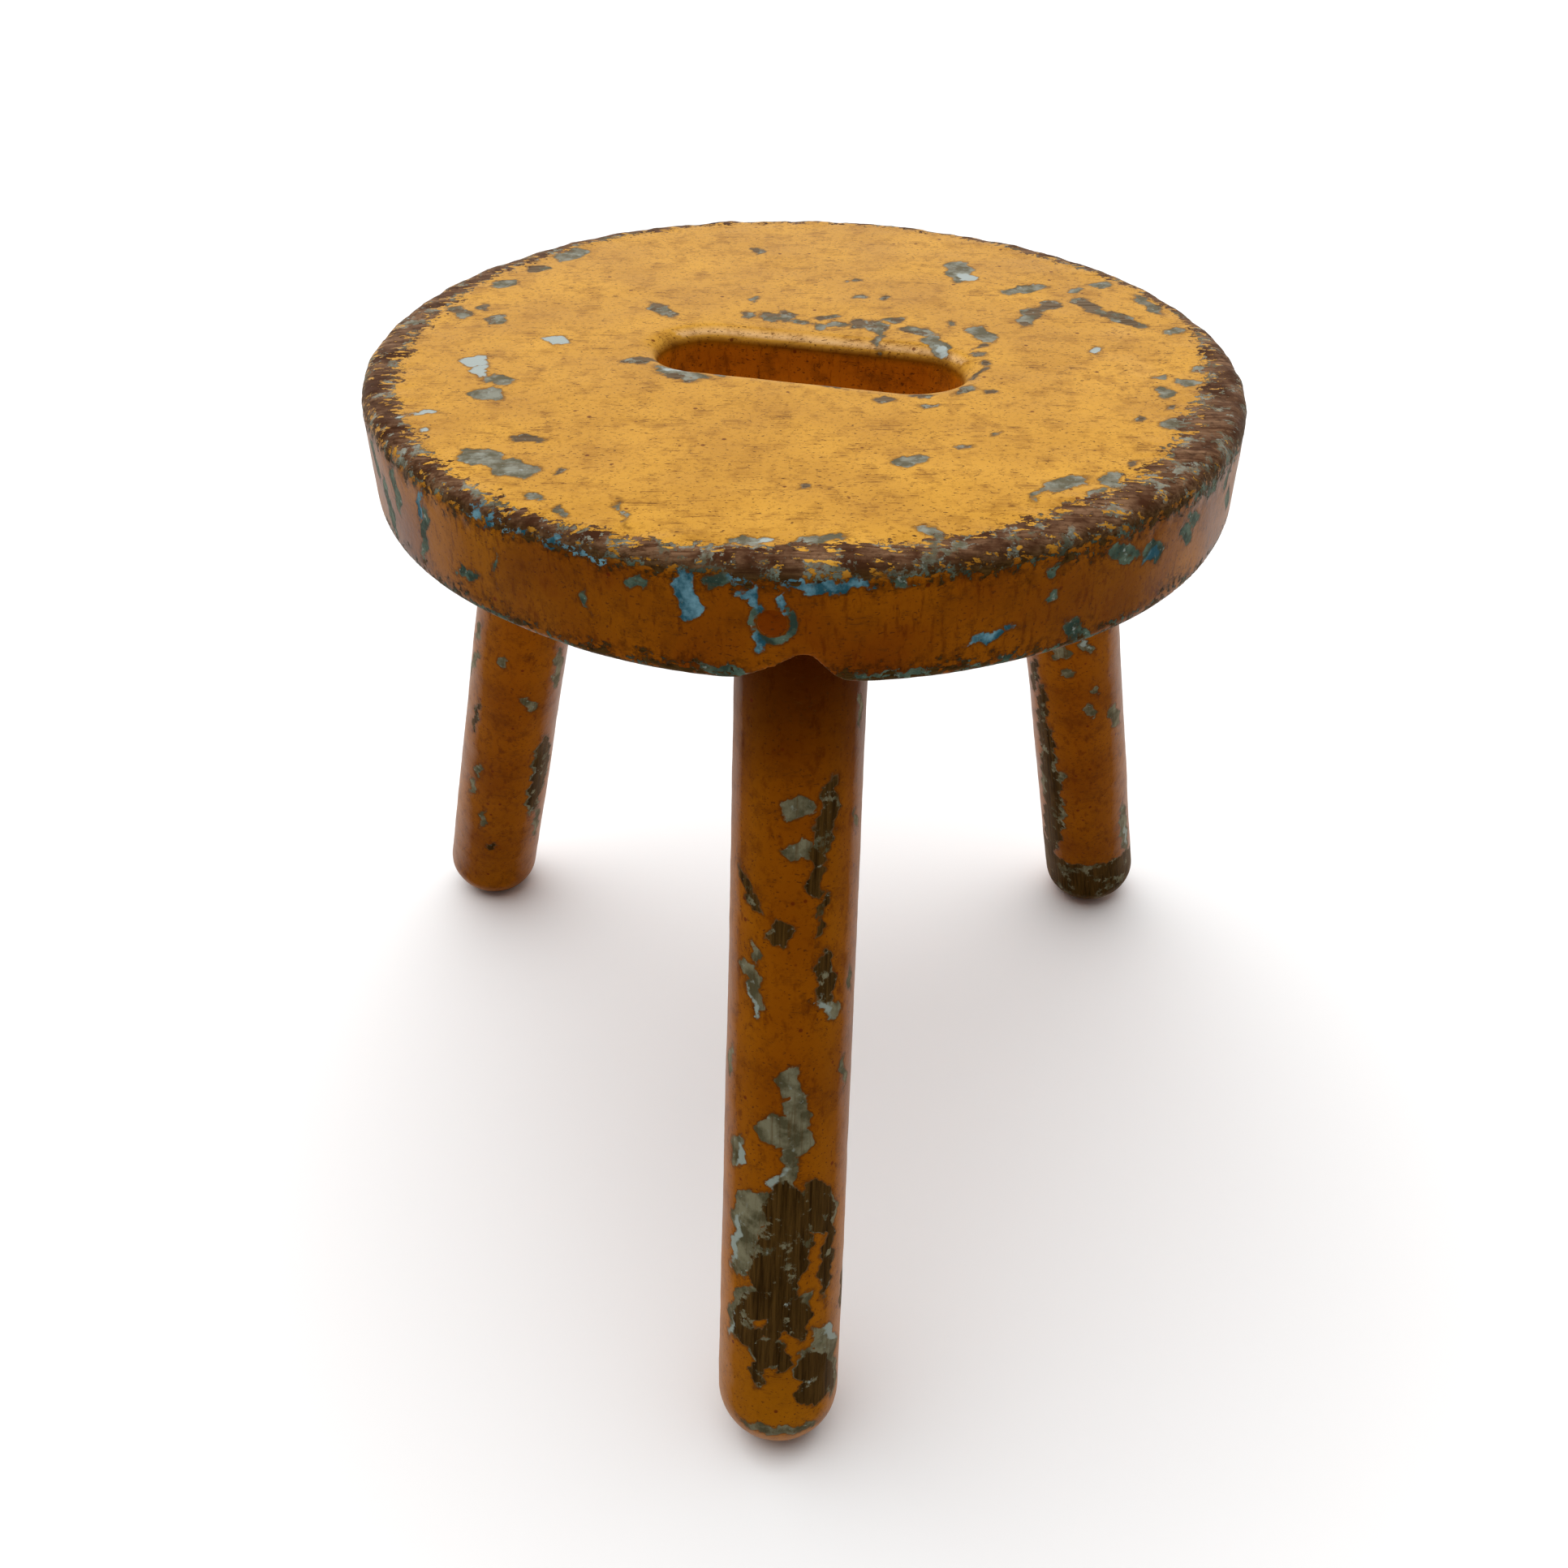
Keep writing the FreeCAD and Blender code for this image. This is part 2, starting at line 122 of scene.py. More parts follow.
RIM_OLD = [
    (-252, 9.5, 2.3, 1.2, -13), (-231.5, 5.5, 3.4, 1.8, -10), (-187, 5, 2.4, 1.2, 29),
    (-234.5, 32, 2.4, 1.2, 4), (-229, 32, 5.4, 1.5, 4), (-192, 33, 5.2, 1.3, 0),
    (-182.5, 32.5, 4.3, 1.1, 3), (-167, 34, 3, 1.2, 7), (-157.5, 32.5, 2, 1, 19),
    (-136.5, 28.5, 3.4, 2, 55), (-134, 32.5, 4, 2, 30), (-110, 15, 5, 2.6, 23),
    (-122, 11, 5.4, 2.4, 29), (-93.5, 16, 4.2, 1.6, 36), (-90.5, 12.5, 3.4, 1.5, 40),
    (-333, 19.5, 8, 1.6, -69), (-313, 24, 4.1, 1.2, -14), (-268, 18.5, 2.4, 0.4, 75),
    (-145, 9, 1.5, 1, 58), (-144.5, 16.5, 1.6, 0.9, 58), (-299, 17.5, 2.2, 0.4, -78),
    (-60, 20, 4, 2, 60), (-20, 25, 5, 2, 10), (30, 14, 6, 2.4, -20), (70, 30, 7, 1.6, 5),
    (-350, 13, 6, 2.4, 80), (-360, 23, 8, 3, 75), (-371, 12, 6, 2.6, 60), (-45, 22, 6, 2.8, 75),
    (-66, 10, 4, 1.6, -50), (-80, 8, 3.4, 1.4, 20), (120, 10, 5, 2.8, 40),
    (165, 28, 6, 1.8, -10), (215, 15, 4, 2.6, 70), (270, 31, 8, 1.5, 0),
]
RIM_BLUE = [
    (-239.5, 8, 4.2, 1.7, 84), (-238.5, 13.5, 4.4, 2.8, 80), (-241, 6.5, 2.6, 1.2, -82),
    (-211.5, 5.2, 3.4, 1.4, 6), (-205.5, 6.6, 4.4, 1.6, 2), (-199, 5.6, 4.4, 1.1, 3),
    (-226.5, 4.8, 2.4, 0.9, -6), (-276, 3.6, 4.4, 1.1, -4), (-267, 4.6, 4, 0.7, 5),
    (-290, 3, 3.6, 1.2, -20), (-305, 2.6, 3.6, 1.5, -30), (-299, 4, 3, 1.1, -34),
    (-333, 10.5, 4.6, 1.1, -67), (-162, 24.3, 4.9, 1.2, -11), (-110, 16, 3, 1.4, 10),
    (-221.3, 10.4, 3, 0.9, 80), (-214.6, 10.6, 2.6, 0.8, -80), (-221.2, 22.3, 2.4, 0.8, 86),
    (-223.3, 8.6, 1.8, 0.7, 10),
    (90, 6, 6, 1.5, 4), (-30, 7, 5, 1.3, -4), (190, 6, 5, 1.4, 3),
]
LEG_BARE = {
    "front": [
        (-20.5, 229, 7.8, 2.8, 86), (-22.5, 219, 6, 3, -89), (-23.7, 209.5, 3.9, 1.6, 90),
        (-24.5, 205, 1.8, 1.4, -27), (-46, 204.5, 4.2, 1.2, -58), (-42.5, 199.5, 2.8, 1.7, -20),
        (-34, 191.5, 3.8, 3.4, 49), (-19.5, 176.5, 8, 3, -85), (-21.3, 199.5, 2.8, 1.2, 80),
        (-22.4, 194, 2.8, 0.5, -87), (-30, 96, 12, 6, -89), (-18.5, 98, 10.5, 5, -70),
        (-32, 78, 15, 8, 88), (-27.5, 87, 12, 6.4, -86), (-15, 78.5, 13.5, 2.6, 89),
        (-40, 56.5, 11.5, 5.6, 70), (-33, 59, 8, 6.2, 74), (-25, 58.5, 8, 3.8, -83),
        (-34, 45, 5, 4, 50), (-36.5, 37, 6.5, 2.2, 87), (-29, 42.5, 4.6, 1.8, -88),
        (-16, 32.5, 12, 5.6, -58), (-19, 29, 7, 4.8, -84),
        (8, 150, 12, 3, 85), (30, 90, 18, 5, 88), (45, 40, 10, 4, 70), (-2, 60, 9, 3, 80),
    ],
    "back_left": [
        (-10.5, 97, 16.5, 4.4, -86), (-13, 79, 13, 3, -87), (-30.8, 43.5, 2.4, 1.2, 34),
        (-45.8, 123, 6.9, 1.2, 85), (12, 60, 20, 5, 88), (35, 140, 9, 4, 80), (50, 45, 8, 3, 75),
    ],
    "back_right": [
        (-51.5, 149, 9, 2.2, 77), (-48.5, 128, 16, 2.6, 83), (-47.5, 104, 17, 3.4, 82),
        (-46.5, 76, 18, 4.2, 83), (-49, 55, 16, 6, 84), (-32, 20, 34, 13.5, -4),
        (10, 110, 14, 3.5, 86), (25, 30, 16, 8, 10), (42, 160, 8, 3, 80), (-60, 30, 14, 12, 0),
    ],
}
LEG_OLD = {
    "front": [
        (-30, 230, 4.3, 2.9, 10), (-29, 217.3, 4, 2.8, -1), (-41.8, 184, 2.4, 1.3, -77),
        (-44, 177.5, 3.6, 2, -20), (-41.5, 171.5, 4.6, 2, -70), (-17.5, 166.5, 4.6, 2.2, -35),
        (-8.9, 256.5, 3.4, 1, -80), (-8.7, 224, 2.4, 1, -71), (-8.4, 173, 2.7, 0.9, -76),
        (-52.5, 144, 4, 1.2, 82), (-10, 142, 3.8, 1.3, -74), (-30, 143.5, 4.6, 3, 89),
        (-27, 133.5, 6.4, 3.6, 89), (-34, 126.5, 5.6, 4.8, 60), (-27.5, 125, 6.8, 5.2, -79),
        (-28.5, 118, 4.3, 2.2, -86), (-29.5, 110, 5, 2.6, -88), (-47, 115, 5.4, 2.8, 80),
        (-41, 95, 9.6, 6.2, 60), (-18.5, 97, 10.5, 6, -60), (-43, 80, 9.6, 4.2, 80),
        (-41.5, 58, 12, 6, 66), (-13.5, 45, 8.5, 3.2, -50), (-34, 45, 6, 5, 50),
        (-24, 63, 5, 3, 70), (-29.5, 13.5, 12.5, 1.8, -1), (-15, 33, 13.5, 6.6, -54),
        (5, 190, 8, 4, 85), (22, 120, 9, 5, 60),
    ],
    "back_left": [
        (-35.2, 162.5, 2.7, 1.7, 84), (-23.8, 142, 2.6, 1.6, -77), (-20.7, 138, 2.3, 1.4, -57),
        (-41, 92, 3.5, 1.3, 79), (-43, 78, 4.6, 1.2, 83), (-36, 60, 4.6, 1, -88),
        (-9.7, 160, 7.7, 2.6, -79), (-9.9, 149, 4.4, 1.6, -65), (-51, 167.5, 4.8, 1.6, 74),
        (-52.5, 149, 8.6, 1.6, 66), (-11, 96, 18, 5.4, -86), (-13.5, 76, 12, 3.6, -87),
        (-8.8, 54.5, 9.2, 1.8, -87), (10, 180, 7, 4, 80),
    ],
    "back_right": [
        (-26, 170, 3.4, 2.2, -62), (-35, 168, 3.1, 2, 81), (-38.2, 167.5, 3.3, 2, 71),
        (-35, 156.5, 2.6, 2, -16), (-26, 134, 3.6, 1.9, 89), (-14, 123, 7.5, 2.6, -70),
        (-23, 144.5, 1.9, 1, -80), (-41.5, 92.5, 4.3, 2, 66), (-11, 46.5, 16, 3, -88),
        (-47, 62, 18, 5.4, 80), (-48, 92, 22, 4.4, 83), (15, 190, 9, 4, 75),
    ],
}
LEG_PALE = {
    "front": [
        (-20, 167, 3.2, 0.7, -40), (-45.5, 113.5, 3, 1.2, 80), (-28.5, 63, 1.8, 1.4, 60),
        (-41.5, 167, 3, 0.6, -60), (-11.5, 47, 4.5, 1.2, -50), (-46.5, 83, 7, 1, 82),
        (-46, 52, 5, 0.9, 70), (-32.5, 110, 3.4, 0.7, 60), (-20, 33, 3, 0.8, 60),
    ],
    "back_left": [(-14, 90, 6, 0.7, -86)],
    "back_right": [(-26, 171, 2, 0.7, -60), (-10, 42, 6, 1, -88)],
}
LEG_PAINT_LEFT = {
    "front": [(-36, 55, 1.8, 1.3, 60), (-19, 81, 6, 1.6, 70), (-21.5, 74, 3, 1.8, -60)],
    "back_left": [],
    "back_right": [],
}

# Worn band round the top edge: azimuth, how far in over the top, how far down the side, in mm.
RIM_WEAR = [
    (-180, 13, 5), (-165, 10.5, 5), (-154, 9.5, 4), (-146, 8.5, 4), (-135, 6.5, 4.5),
    (-128, 6, 4.5), (-121, 5, 4), (-115, 5, 4), (-109, 5.5, 4.5), (-103, 6, 4.5),
    (-99, 8, 4.5), (-92, 9.5, 5), (-87, 11, 4.5), (-82, 11, 4.5), (-78, 9, 5),
    (-68, 10.5, 5.5), (-61, 11.5, 6), (-53, 14, 6), (-47, 12.5, 6), (-35, 14, 8),
    (-22, 17, 9), (-10, 12.5, 8), (2, 9.5, 6), (11, 6, 5), (18, 6, 5),
    (27, 5.5, 4), (37, 7, 4), (47, 9, 5), (60, 7, 4), (82, 5, 4),
    (103, 6, 4), (127, 9, 5), (145, 11, 5), (160, 13, 6), (180, 13, 5),
]

# ---- working on a mesh ------------------------------------------------------------------


def take(piece):
    """Makes this piece the only one selected and the active one."""
    bpy.ops.object.select_all(action="DESELECT")
    piece.select_set(True)
    bpy.context.view_layer.objects.active = piece


def pick(piece, kind, test):
    """Enters edit mode with only the parts of the mesh that pass the test selected."""
    take(piece)
    bpy.ops.object.mode_set(mode="EDIT")
    bpy.ops.mesh.select_mode(type=kind)
    bpy.ops.mesh.select_all(action="DESELECT")
    bpy.ops.object.mode_set(mode="OBJECT")
    mesh = piece.data
    parts = {"VERT": mesh.vertices, "EDGE": mesh.edges, "FACE": mesh.polygons}[kind]
    for part in parts:
        part.select = test(part)
    bpy.ops.object.mode_set(mode="EDIT")


def ends_of(piece, edge):
    """The two ends of an edge, in metres."""
    return [piece.data.vertices[v].co for v in edge.vertices]


def settle(piece, place, turn=Matrix()):
    """Moves a piece from its own frame to its place, and puts the place in its mesh."""
    take(piece)
    piece.matrix_world = Matrix.Translation(place * MM) @ turn
    bpy.ops.object.transform_apply(location=True, rotation=True, scale=True)


def add_modifier(piece, kind, **settings):
    """Adds one modifier with its settings and applies it."""
    modifier = piece.modifiers.new(kind.lower(), kind)
    for name, value in settings.items():
        setattr(modifier, name, value)
    take(piece)
    bpy.ops.object.modifier_apply(modifier=modifier.name)


def carve(piece, cutter):
    """Cuts the cutter out of the piece and throws the cutter away."""
    add_modifier(piece, "BOOLEAN", object=cutter, operation="DIFFERENCE", solver="EXACT")
    bpy.data.objects.remove(cutter)


def weather(piece, size, depth, group=""):
    """Pushes the surface in and out in soft lumps of this size and depth, in mm."""
    lumps = bpy.data.textures.new(f"lumps_{size}", "CLOUDS")
    lumps.noise_scale = size * MM
    lumps.noise_depth = 2
    add_modifier(piece, "DISPLACE", texture=lumps, texture_coords="LOCAL", vertex_group=group,
                 strength=depth * MM, mid_level=0.5)


def places(piece):
    """Every vertex's place in mm, as an array."""
    flat = np.empty(len(piece.data.vertices) * 3)
    piece.data.vertices.foreach_get("co", flat)
    return flat.reshape(-1, 3) / MM


def mark(piece, name, values):
    """Keeps one number per vertex, for the paint to read."""
    piece.data.attributes.new(name, "FLOAT", "POINT").data.foreach_set("value", values)


FAR = 9.0   # mm: no wear is looked for beyond this


def spot_distance(across, along, off, spots):
    """How far each place is from the edge of the nearest spot, in mm, and negative inside it.

    The places are bent a little first, so that no spot is a plain oval.
    """
    across = across + 0.9 * np.sin(along * 0.7 + 1) + 0.4 * np.sin(along * 1.9 + across * 0.6)
    along = along + 0.7 * np.sin(across * 0.8 + 2) + 0.4 * np.sin(across * 2.1 - along * 0.5)
    nearest = np.full(across.shape, FAR)
    for u, v, long, short, turn in spots:
        c, s = math.cos(math.radians(turn)), math.sin(math.radians(turn))
        du, dv = across - u, along - v
        reach_long, reach_short = (du * c + dv * s) / long, (dv * c - du * s) / short
        reach = np.sqrt(reach_long ** 2 + reach_short ** 2 + (off / 3) ** 2)
        nearest = np.minimum(nearest, (reach - 1) * short)
    return nearest - 0.35


# ---- seat -------------------------------------------------------------------------------


def rim_radius(azimuth):
    """Distance from the seat's axis to the oval rim, in mm. azimuth in degrees."""
    angle = np.radians(azimuth - SEAT_TURN)
    flattened = np.hypot(SEAT_SHORT * np.cos(angle), SEAT_LONG * np.sin(angle))
    return SEAT_LONG * SEAT_SHORT / 2 / flattened


def level_direction(azimuth):
    """The level unit vector at this azimuth, in degrees."""
    return Vector((math.cos(math.radians(azimuth)), math.sin(math.radians(azimuth)), 0))


def slot_cutter():
    """The hand hole: a round post with flared lips, its halves drawn apart into a long hole."""
    shaft = SEAT_THICK + 10
    lip = sum(rise for rise, spread in SLOT_LIP[:-1])
    bpy.ops.mesh.primitive_cylinder_add(vertices=72, radius=SLOT_WIDTH / 2 * MM, depth=shaft * MM,
                                        location=(0, 0, 0))
    cutter = bpy.context.object
    top = shaft / 2 * MM
    pick(cutter, "FACE", lambda face: face.normal.z > 0.9)
    radius = SLOT_WIDTH / 2
    for rise, spread in SLOT_LIP:
        bpy.ops.mesh.extrude_region_move(TRANSFORM_OT_translate={"value": (0, 0, rise * MM)})
        bpy.ops.transform.resize(value=((radius + spread) / radius, (radius + spread) / radius, 1))
        radius += spread
    bpy.ops.object.mode_set(mode="OBJECT")
    for side in (-1, 1):
        pick(cutter, "VERT", lambda vertex: vertex.co.x * side > 0.0001)
        bpy.ops.transform.translate(value=(side * (SLOT_LENGTH - SLOT_WIDTH) / 2 * MM, 0, 0))
        bpy.ops.object.mode_set(mode="OBJECT")
    pick(cutter, "VERT", lambda vertex: vertex.co.z > top + 0.002 and vertex.co.y < -0.002)
    bpy.ops.transform.translate(value=(0, 2.2 * MM, 0))
    bpy.ops.object.mode_set(mode="OBJECT")
    settle(cutter, SEAT_TOP + SLOT_PLACE - UP * (shaft / 2 + lip),
           Matrix.Rotation(math.radians(SLOT_TURN), 4, "Z"))
    return cutter


def notch_cutter():
    """The scoop in the rim's lower edge: a round bar pointing outwards, crest drawn aside."""
    radius = ((NOTCH_WIDTH / 2) ** 2 + NOTCH_RISE ** 2) / (2 * NOTCH_RISE)
    bpy.ops.mesh.primitive_cylinder_add(vertices=64, radius=radius * MM, depth=30 * MM)
    cutter = bpy.context.object
    for level in range(1, NOTCH_RISE):
        pick(cutter, "VERT", lambda vertex: -vertex.co.x / MM > radius - NOTCH_RISE + level)
        bpy.ops.transform.resize(value=(1, 0.9, 1))
        bpy.ops.transform.translate(value=(0, 0.5 * MM, 0))
        bpy.ops.object.mode_set(mode="OBJECT")
    azimuth = NOTCH_AZIMUTH
    outward = level_direction(azimuth)
    middle = SEAT_AXIS + outward * (rim_radius(azimuth) - NOTCH_RUN + 15)
    middle.z = seat_low.z + NOTCH_RISE - radius
    # its own X turns to point down, its own Z outwards
    settle(cutter, middle, Matrix.Rotation(math.radians(azimuth), 4, "Z")
           @ Matrix.Rotation(math.pi / 2, 4, "Y"))
    return cutter


def band_reach(azimuth):
    """How far the worn band comes in over the top and down the side at each azimuth, in mm."""
    around, inward, down = zip(*RIM_WEAR)
    return np.interp(azimuth, around, inward), np.interp(azimuth, around, down)


def mark_seat(seat):
    """Works out where the seat's paint has worn off, and where the sun has bleached it and the top
    is painted lighter than the sides as painted light.

    The rim's arc runs from +X round the seat, over the cut at 150 degrees.
    """
    x, y, z = (places(seat) - np.array(SEAT_TOP)).T
    depth = -z
    azimuth = np.degrees(np.arctan2(y, x))
    inside = rim_radius(azimuth) - np.hypot(x, y)
    inward, down = band_reach(azimuth)
    band = np.maximum(inside - inward, depth - down)
    lower_edge = np.maximum(inside - 5, SEAT_THICK - 3.2 - depth)
    arc = np.radians(np.where(azimuth > 150, azimuth - 360, azimuth)) * RIM_MEAN_RADIUS
    off_rim = np.maximum(inside - 3, 0)
    ring = np.abs(np.hypot(arc - PEG_RING_ARC, depth - PEG_DEPTH) - PEG_RING_RADIUS)
    ring = ring - PEG_RING_HALF_WIDTH
    opening = np.maximum(np.abs(arc + 217.5) - 2.6, depth - 15)   # the ring is open at its top
    ring = np.maximum(ring, -opening) + off_rim
    lid = np.maximum(depth - 1, 0)
    band = np.minimum(band, lower_edge)
    band = np.where(band < 0, band * np.interp(inward, (7, 12), (2.2, 1.25)), band)
    mark(seat, "band", band.clip(-14, 9))
    mark(seat, "bare", spot_distance(x, y, lid, TOP_BARE))
    old = np.minimum(spot_distance(x, y, lid, TOP_OLD),
                     spot_distance(arc, depth, off_rim, RIM_OLD))
    mark(seat, "old", np.minimum(old, ring))
    mark(seat, "pale", spot_distance(x, y, lid, TOP_PALE))
    mark(seat, "blue", spot_distance(arc, depth, off_rim, RIM_BLUE))
    in_slot = inside > 25
    turn = math.radians(SLOT_TURN)
    across_slot = (y - SLOT_PLACE.y) * math.cos(turn) - (x - SLOT_PLACE.x) * math.sin(turn)
    # 1 on the top and 0 on the sides: the top bleached, and painted lighter as painted light.
    #                                  Above 1 a painted highlight on the slot's far lip, below 0
    #                                  painted light deep in the slot
    lip = in_slot * (across_slot > 12) * (1 - np.abs(depth - 1.4) / 1.3).clip(0, 1)
    bleached_and_painted_light = 1 - ((depth - 0.8 - 0.7 * in_slot) / (4 - 0.4 * in_slot)).clip(0, 1)
    deep = in_slot * ((depth - 2) / 3).clip(0, 1)
    mark(seat, "bleached_and_painted_light", bleached_and_painted_light + lip - 0.5 * deep)


def build_seat():
    """The board: an oval cylinder, rounded, slotted, notched and weathered."""
    bpy.ops.mesh.primitive_cylinder_add(vertices=240, radius=0.5 * MM, depth=SEAT_THICK * MM)
    seat = bpy.context.object
    seat.name = "seat_board"
    bpy.ops.object.mode_set(mode="EDIT")
    bpy.ops.transform.resize(value=(SEAT_LONG, SEAT_SHORT, 1))
    bpy.ops.object.mode_set(mode="OBJECT")
    settle(seat, SEAT_AXIS, Matrix.Rotation(math.radians(SEAT_TURN), 4, "Z"))
    for level, round_size in ((seat_high.z, TOP_ROUND), (seat_low.z, UNDER_ROUND)):
        def on_edge(edge):
            ends = (seat.data.vertices[v].co.z / MM for v in edge.vertices)
            return all(abs(end - level) < 0.01 for end in ends)
        pick(seat, "EDGE", on_edge)
        bpy.ops.mesh.bevel(offset=round_size * MM, segments=8, affect="EDGES")
        bpy.ops.object.mode_set(mode="OBJECT")
    carve(seat, slot_cutter())
    carve(seat, notch_cutter())
    add_modifier(seat, "REMESH", mode="VOXEL", voxel_size=1.3 * MM, use_smooth_shade=True)
    add_modifier(seat, "SMOOTH", factor=0.5, iterations=4)
    weather(seat, 45, 0.9)
    edge = seat.vertex_groups.new(name="edge")
    x, y, z = (places(seat) - np.array(SEAT_TOP)).T
    azimuth = np.degrees(np.arctan2(y, x))
    inside = rim_radius(azimuth) - np.hypot(x, y)
    inward, down = band_reach(azimuth)
    nearness = (1.5 - np.maximum(inside / (inward + 3), -z / (down + 3))).clip(0, 1)
    for index in np.flatnonzero(nearness > 0.02):
        edge.add([int(index)], float(nearness[index]), "REPLACE")
    weather(seat, 12, 1.3, "edge")
    weather(seat, 4, 0.5, "edge")
    mark_seat(seat)
    return seat


# ---- legs and pegs ----------------------------------------------------------------------


def leg_frame(leg):
    """The leg's foot in mm, its turn, with its own +Z up its axis, and its length to the seat."""
    entry = level_direction(leg["azimuth"]) * (rim_radius(leg["azimuth"]) - leg["inset"])
    entry = Vector((SEAT_AXIS.x, SEAT_AXIS.y, 0)) + entry + UP * seat_low.z
    lean = math.radians(leg["lean"])
    up = level_direction(leg["heading"]) * -math.sin(lean) + UP * math.cos(lean)
    corner = leg["foot_round"]
    foot_centre = corner + (FOOT_RADIUS - corner) * math.sin(lean) - 1
    drop = (seat_low.z - foot_centre) / math.cos(lean) + corner
    return entry - up * drop, UP.rotation_difference(up), drop


def build_leg(name, leg):
    """A round leg, tapered to its tenon, with a rounded foot worn flat on the floor."""
    foot, turn, drop = leg_frame(leg)
    length = drop + TENON_IN_SEAT
    bpy.ops.mesh.primitive_cylinder_add(vertices=96, radius=FOOT_RADIUS * MM, depth=length * MM)
    piece = bpy.context.object
    piece.name = f"leg_{name}_turned"
    settle(piece, UP * length / 2)
    pick(piece, "FACE", lambda face: face.normal.z > 0.9)
    taper = TENON_RADIUS / FOOT_RADIUS
    bpy.ops.transform.resize(value=(taper, taper, 1))
    bpy.ops.object.mode_set(mode="OBJECT")
    pick(piece, "EDGE", lambda edge: all(end.z < 0.0001 for end in ends_of(piece, edge)))
    bpy.ops.mesh.bevel(offset=leg["foot_round"] * MM, segments=12, affect="EDGES")
    bpy.ops.object.mode_set(mode="OBJECT")
    settle(piece, foot, turn.to_matrix().to_4x4())
    pick(piece, "FACE", lambda face: True)
    bpy.ops.mesh.bisect(plane_co=(0, 0, FLAT_ON_FLOOR * MM), plane_no=(0, 0, 1), use_fill=True,
                        clear_inner=True)
    bpy.ops.object.mode_set(mode="OBJECT")
    add_modifier(piece, "REMESH", mode="VOXEL", voxel_size=1 * MM, use_smooth_shade=True)
    add_modifier(piece, "SMOOTH", factor=0.5, iterations=3)
    weather(piece, 40, 0.7)
    weather(piece, 9, 0.25)
    own = (places(piece) - np.array(foot)) @ np.array(turn.to_matrix())
    arc, height, off = np.arctan2(own[:, 1], own[:, 0]) * LEG_MEAN_RADIUS, own[:, 2], 0 * own[:, 0]
    still_painted = -spot_distance(arc, height, off, LEG_PAINT_LEFT[name])
    for word, spots in (("bare", LEG_BARE), ("old", LEG_OLD), ("pale", LEG_PALE)):
        worn = spot_distance(arc, height, off, spots[name])
        mark(piece, word, np.maximum(worn, still_painted))
    return piece


def build_peg(name, leg):
    """The dowel through the rim into the leg's tenon, its outer end bevelled and painted over."""
    azimuth = leg["azimuth"] + PEG_OFFSET
    inward = level_direction(azimuth) * -1
    bpy.ops.mesh.primitive_cylinder_add(vertices=48, radius=PEG_RADIUS * MM, depth=PEG_LENGTH * MM)
    piece = bpy.context.object
    piece.name = f"peg_{name}_dowel"

    def round_outer_end(edge):
        first, second = ends_of(piece, edge)
        return first.z < -0.01 and second.z < -0.01 and abs(first.z - second.z) < 1e-6
    pick(piece, "EDGE", round_outer_end)
    bpy.ops.mesh.bevel(offset=0.5 * MM, segments=3, affect="EDGES")
    bpy.ops.object.mode_set(mode="OBJECT")
    middle = Vector((SEAT_AXIS.x, SEAT_AXIS.y, seat_high.z - PEG_DEPTH))
    middle -= inward * (rim_radius(azimuth) + 0.1 - PEG_LENGTH / 2)
    settle(piece, middle, UP.rotation_difference(inward).to_matrix().to_4x4())
    for word in ("bare", "old", "pale"):
        mark(piece, word, np.full(len(piece.data.vertices), FAR))
    take(piece)
    bpy.ops.object.shade_smooth_by_angle(angle=math.radians(40))
    return piece


# ---- paint and wood ---------------------------------------------------------------------
# Noise scales are lumps per mm.

# the top_ tones are the seat's top: bleached, and painted lighter than the side tones as painted
# light
SEAT_TONES = {
    "light": "#9A5C06", "dark": "#663203", "stain": "#7E4A14", "old_light": "#586A5A",
    "old_dark": "#2E3F36", "chalk": "#A9B2AE", "top_light": "#D59D3C", "top_dark": "#BE8831",
}
LEG_TONES = {
    "light": "#9A5804", "dark": "#7A4002", "stain": "#4A1803", "old_light": "#7A755C",
    "old_dark": "#504B35", "chalk": "#8F988E",
}
PEG_TONES = {
    "light": "#803E01", "dark": "#562201", "stain": "#4A1803", "old_light": "#918A66",
    "old_dark": "#6A6444", "chalk": "#8F988E",
}
# painted shade: the front is painted darker and redder, between two places on the piece's own Y
SEAT_PAINTED_FRONT_SHADE = (-139, -108, 0.5)       # along the piece's own Y, in mm, and how strongly
OTHERS_PAINTED_FRONT_SHADE = (-19.3, -15, 0.4)
COAT_THICK, GRAIN_DEPTH, SKIN_DEPTH = 0.35, 0.3, 0.12


def colour(code):
    """An sRGB hex colour as linear RGBA."""
    parts = [int(code[i:i + 2], 16) / 255 for i in (1, 3, 5)]
    return [p / 12.92 if p <= 0.04045 else ((p + 0.055) / 1.055) ** 2.4 for p in parts] + [1]


def add(tree, kind, values=None, **settings):
    """Adds one node with its settings. A value that is a node or an output is linked."""
    node = tree.nodes.new(kind)
    for name, value in settings.items():
        setattr(node, name, value)
    for socket, value in (values or {}).items():
        if isinstance(value, bpy.types.Node):
            value = value.outputs[0]
        if isinstance(value, bpy.types.NodeSocket):
            tree.links.new(value, node.inputs[socket])
        else:
            node.inputs[socket].default_value = value
    return node


def noise(tree, place, scale, detail, roughness):
    """Cloudy lumps between 0 and 1."""
    return add(tree, "ShaderNodeTexNoise", {"Vector": place, "Scale": scale, "Detail": detail,
                                            "Roughness": roughness})


def ramp(tree, value, low, high, to_low=0.0, to_high=1.0, **settings):
    """Turns low..high into to_low..to_high."""
    return add(tree, "ShaderNodeMapRange", {"Value": value, "From Min": low, "From Max": high,
                                            "To Min": to_low, "To Max": to_high}, **settings)


